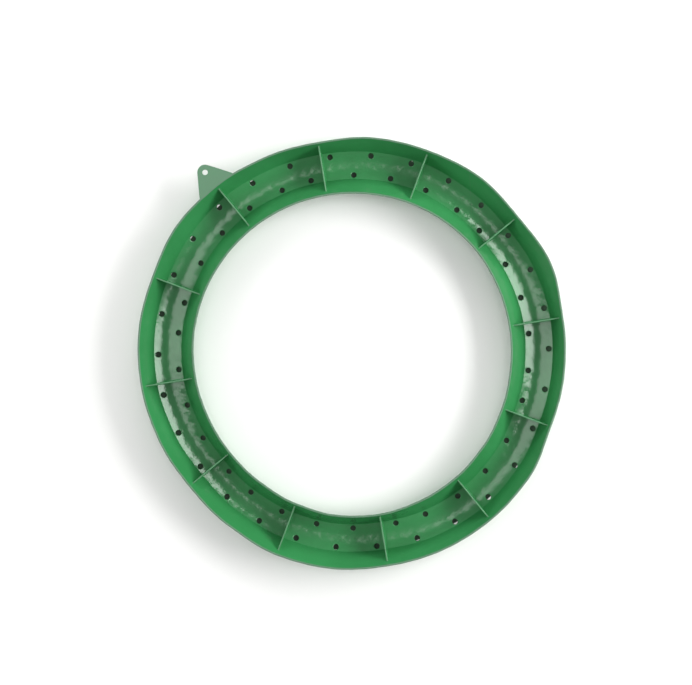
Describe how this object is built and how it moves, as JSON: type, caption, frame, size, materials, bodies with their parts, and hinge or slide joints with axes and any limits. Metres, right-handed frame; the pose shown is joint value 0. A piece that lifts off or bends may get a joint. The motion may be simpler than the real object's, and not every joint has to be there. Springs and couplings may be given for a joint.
{
  "type": "wreath frame",
  "caption": "Round plastic wreath frame: an open ring channel with a dished floor, cross ribs, rows of stem holes through the floor and a flat hanging tab with an eye.",
  "frame": {"origin": "centre of the ring, level with the lowest point of the channel's floor", "axes": "+Z out of the open side of the channel, along the ring's axis; +Y towards the hanging tab; +X to the right of the tab seen from the open side"},
  "size_m": [0.356, 0.3762, 0.025],
  "materials": {
    "green_plastic": "glossy moulded polyethylene, mid green, slightly wavy"
  },
  "bodies": {
    "root": {"channel_floor": "green_plastic", "outer_wall": "green_plastic", "inner_wall": "green_plastic", "hanging_tab": "green_plastic", "rib_01": "green_plastic", "rib_02": "green_plastic", "rib_03": "green_plastic", "rib_04": "green_plastic", "rib_05": "green_plastic", "rib_06": "green_plastic", "rib_07": "green_plastic", "rib_08": "green_plastic", "rib_09": "green_plastic", "rib_10": "green_plastic", "rib_11": "green_plastic", "rib_12": "green_plastic"}
  },
  "joints": []
}
